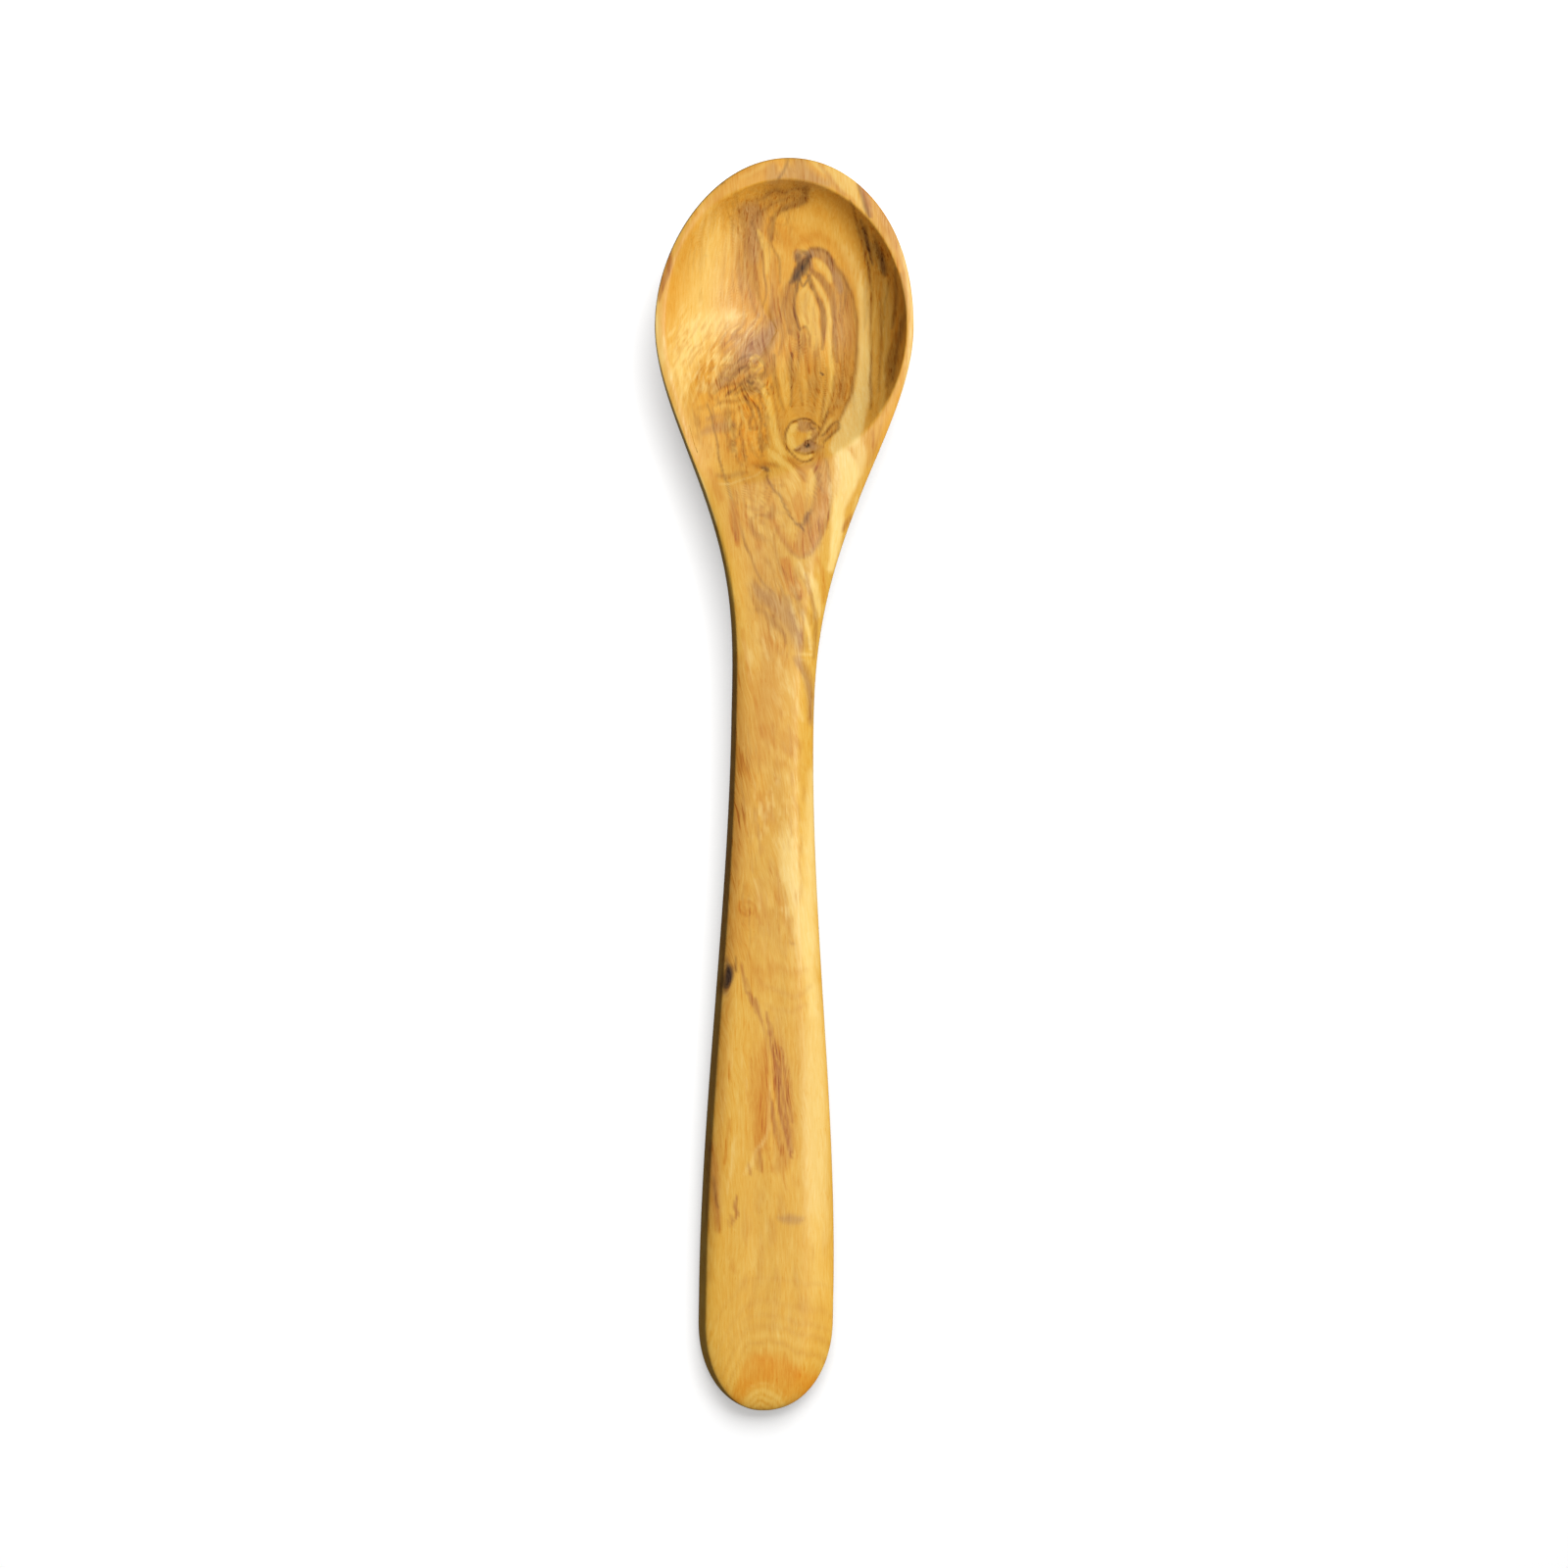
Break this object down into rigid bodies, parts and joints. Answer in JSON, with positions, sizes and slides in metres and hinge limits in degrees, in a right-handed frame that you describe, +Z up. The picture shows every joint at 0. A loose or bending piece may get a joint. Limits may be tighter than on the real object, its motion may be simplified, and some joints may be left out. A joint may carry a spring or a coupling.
{
  "type": "wooden spoon",
  "caption": "Olive wood cooking and serving spoon carved in one piece, with an egg-shaped hollowed bowl in line with a flat flared handle.",
  "frame": {"origin": "on the table, under the middle of the spoon's box", "axes": "+Y along the spoon towards the tip of the bowl, +Z up out of the hollow, +X to the right seen from above with the bowl away"},
  "size_m": [0.0624, 0.3, 0.0219],
  "materials": {
    "olive_wood": "sanded and oiled, satin"
  },
  "bodies": {
    "root": {"spoon_body": "olive_wood"}
  },
  "joints": []
}
